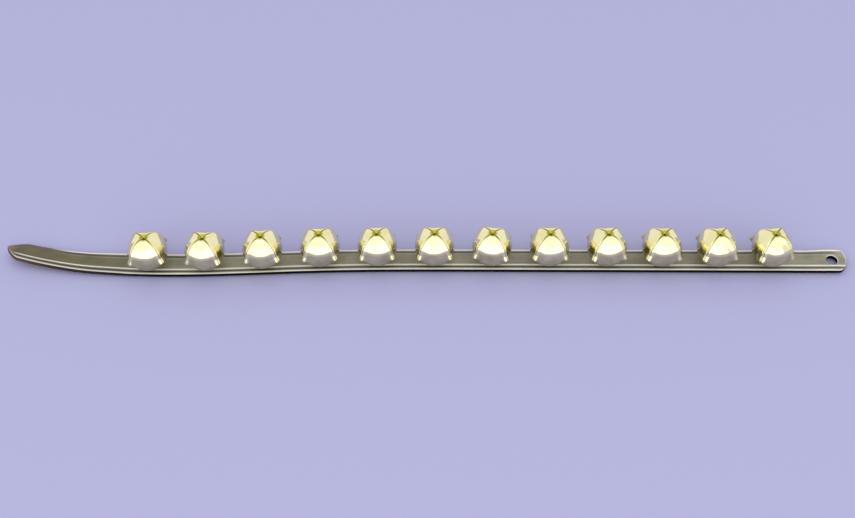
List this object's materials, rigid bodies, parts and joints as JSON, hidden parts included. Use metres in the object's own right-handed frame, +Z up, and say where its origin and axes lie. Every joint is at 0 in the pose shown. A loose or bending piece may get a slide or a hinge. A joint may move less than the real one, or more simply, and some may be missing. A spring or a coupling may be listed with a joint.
{
  "type": "bell strap",
  "caption": "Flat leather strap with a creased border, a pointed tail and a hanging hole, carrying a row of four-petal brass jingle bells riveted through their crowns.",
  "frame": {"origin": "on the surface that the burrs rest on, below the middle of the whole object", "axes": "+X along the strap towards its hanging hole, +Y to the strap's far edge as pictured, +Z up through the bells' mouths"},
  "size_m": [0.6012, 0.034, 0.0328],
  "materials": {
    "strap_leather": "smooth, waxed, creased border",
    "bell_brass": "bright polished plating",
    "pea_steel": "dull tumbled",
    "rivet_steel": "nickel plated",
    "burr_steel": "nickel plated"
  },
  "bodies": {
    "strap": {"strap": "strap_leather", "rivet_01": "rivet_steel", "rivet_02": "rivet_steel", "rivet_03": "rivet_steel", "rivet_04": "rivet_steel", "rivet_05": "rivet_steel", "rivet_06": "rivet_steel", "rivet_07": "rivet_steel", "rivet_08": "rivet_steel", "rivet_09": "rivet_steel", "rivet_10": "rivet_steel", "rivet_11": "rivet_steel", "rivet_12": "rivet_steel", "burr_01": "burr_steel", "burr_02": "burr_steel", "burr_03": "burr_steel", "burr_04": "burr_steel", "burr_05": "burr_steel", "burr_06": "burr_steel", "burr_07": "burr_steel", "burr_08": "burr_steel", "burr_09": "burr_steel", "burr_10": "burr_steel", "burr_11": "burr_steel", "burr_12": "burr_steel"},
    "bell_01": {"bell_shell_01": "bell_brass"},
    "pea_01": {"pea_01": "pea_steel"},
    "bell_02": {"bell_shell_02": "bell_brass"},
    "pea_02": {"pea_02": "pea_steel"},
    "bell_03": {"bell_shell_03": "bell_brass"},
    "pea_03": {"pea_03": "pea_steel"},
    "bell_04": {"bell_shell_04": "bell_brass"},
    "pea_04": {"pea_04": "pea_steel"},
    "bell_05": {"bell_shell_05": "bell_brass"},
    "pea_05": {"pea_05": "pea_steel"},
    "bell_06": {"bell_shell_06": "bell_brass"},
    "pea_06": {"pea_06": "pea_steel"},
    "bell_07": {"bell_shell_07": "bell_brass"},
    "pea_07": {"pea_07": "pea_steel"},
    "bell_08": {"bell_shell_08": "bell_brass"},
    "pea_08": {"pea_08": "pea_steel"},
    "bell_09": {"bell_shell_09": "bell_brass"},
    "pea_09": {"pea_09": "pea_steel"},
    "bell_10": {"bell_shell_10": "bell_brass"},
    "pea_10": {"pea_10": "pea_steel"},
    "bell_11": {"bell_shell_11": "bell_brass"},
    "pea_11": {"pea_11": "pea_steel"},
    "bell_12": {"bell_shell_12": "bell_brass"},
    "pea_12": {"pea_12": "pea_steel"}
  },
  "joints": [
    {"name": "bell_01_swivel", "type": "hinge", "parent": "strap", "child": "bell_01", "pos_m": [-0.19448, -0.00306, 0.01896], "axis": [0, 0, 1], "range_deg": [-180, 180]},
    {"name": "pea_01_roll", "type": "hinge", "parent": "bell_01", "child": "pea_01", "pos_m": [-0.19448, -0.00306, 0.01896], "axis": [0, 1, 0], "range_deg": [-150, 150]},
    {"name": "bell_02_swivel", "type": "hinge", "parent": "strap", "child": "bell_02", "pos_m": [-0.15408, -0.00275, 0.01896], "axis": [0, 0, 1], "range_deg": [-180, 180]},
    {"name": "pea_02_roll", "type": "hinge", "parent": "bell_02", "child": "pea_02", "pos_m": [-0.15408, -0.00275, 0.01896], "axis": [0, 1, 0], "range_deg": [-150, 150]},
    {"name": "bell_03_swivel", "type": "hinge", "parent": "strap", "child": "bell_03", "pos_m": [-0.11368, -0.0009, 0.01896], "axis": [0, 0, 1], "range_deg": [-180, 180]},
    {"name": "pea_03_roll", "type": "hinge", "parent": "bell_03", "child": "pea_03", "pos_m": [-0.11368, -0.0009, 0.01896], "axis": [0, 1, 0], "range_deg": [-150, 150]},
    {"name": "bell_04_swivel", "type": "hinge", "parent": "strap", "child": "bell_04", "pos_m": [-0.07328, 0.00097, 0.01896], "axis": [0, 0, 1], "range_deg": [-180, 180]},
    {"name": "pea_04_roll", "type": "hinge", "parent": "bell_04", "child": "pea_04", "pos_m": [-0.07328, 0.00097, 0.01896], "axis": [0, 1, 0], "range_deg": [-150, 150]},
    {"name": "bell_05_swivel", "type": "hinge", "parent": "strap", "child": "bell_05", "pos_m": [-0.03288, 0.00198, 0.01896], "axis": [0, 0, 1], "range_deg": [-180, 180]},
    {"name": "pea_05_roll", "type": "hinge", "parent": "bell_05", "child": "pea_05", "pos_m": [-0.03288, 0.00198, 0.01896], "axis": [0, 1, 0], "range_deg": [-150, 150]},
    {"name": "bell_06_swivel", "type": "hinge", "parent": "strap", "child": "bell_06", "pos_m": [0.00752, 0.00232, 0.01896], "axis": [0, 0, 1], "range_deg": [-180, 180]},
    {"name": "pea_06_roll", "type": "hinge", "parent": "bell_06", "child": "pea_06", "pos_m": [0.00752, 0.00232, 0.01896], "axis": [0, 1, 0], "range_deg": [-150, 150]},
    {"name": "bell_07_swivel", "type": "hinge", "parent": "strap", "child": "bell_07", "pos_m": [0.04792, 0.0024, 0.01896], "axis": [0, 0, 1], "range_deg": [-180, 180]},
    {"name": "pea_07_roll", "type": "hinge", "parent": "bell_07", "child": "pea_07", "pos_m": [0.04792, 0.0024, 0.01896], "axis": [0, 1, 0], "range_deg": [-150, 150]},
    {"name": "bell_08_swivel", "type": "hinge", "parent": "strap", "child": "bell_08", "pos_m": [0.08832, 0.00241, 0.01896], "axis": [0, 0, 1], "range_deg": [-180, 180]},
    {"name": "pea_08_roll", "type": "hinge", "parent": "bell_08", "child": "pea_08", "pos_m": [0.08832, 0.00241, 0.01896], "axis": [0, 1, 0], "range_deg": [-150, 150]},
    {"name": "bell_09_swivel", "type": "hinge", "parent": "strap", "child": "bell_09", "pos_m": [0.12872, 0.00241, 0.01896], "axis": [0, 0, 1], "range_deg": [-180, 180]},
    {"name": "pea_09_roll", "type": "hinge", "parent": "bell_09", "child": "pea_09", "pos_m": [0.12872, 0.00241, 0.01896], "axis": [0, 1, 0], "range_deg": [-150, 150]},
    {"name": "bell_10_swivel", "type": "hinge", "parent": "strap", "child": "bell_10", "pos_m": [0.16722, 0.00241, 0.01896], "axis": [0, 0, 1], "range_deg": [-180, 180]},
    {"name": "pea_10_roll", "type": "hinge", "parent": "bell_10", "child": "pea_10", "pos_m": [0.16722, 0.00241, 0.01896], "axis": [0, 1, 0], "range_deg": [-150, 150]},
    {"name": "bell_11_swivel", "type": "hinge", "parent": "strap", "child": "bell_11", "pos_m": [0.20572, 0.00241, 0.01896], "axis": [0, 0, 1], "range_deg": [-180, 180]},
    {"name": "pea_11_roll", "type": "hinge", "parent": "bell_11", "child": "pea_11", "pos_m": [0.20572, 0.00241, 0.01896], "axis": [0, 1, 0], "range_deg": [-150, 150]},
    {"name": "bell_12_swivel", "type": "hinge", "parent": "strap", "child": "bell_12", "pos_m": [0.24422, 0.00241, 0.01896], "axis": [0, 0, 1], "range_deg": [-180, 180]},
    {"name": "pea_12_roll", "type": "hinge", "parent": "bell_12", "child": "pea_12", "pos_m": [0.24422, 0.00241, 0.01896], "axis": [0, 1, 0], "range_deg": [-150, 150]}
  ]
}
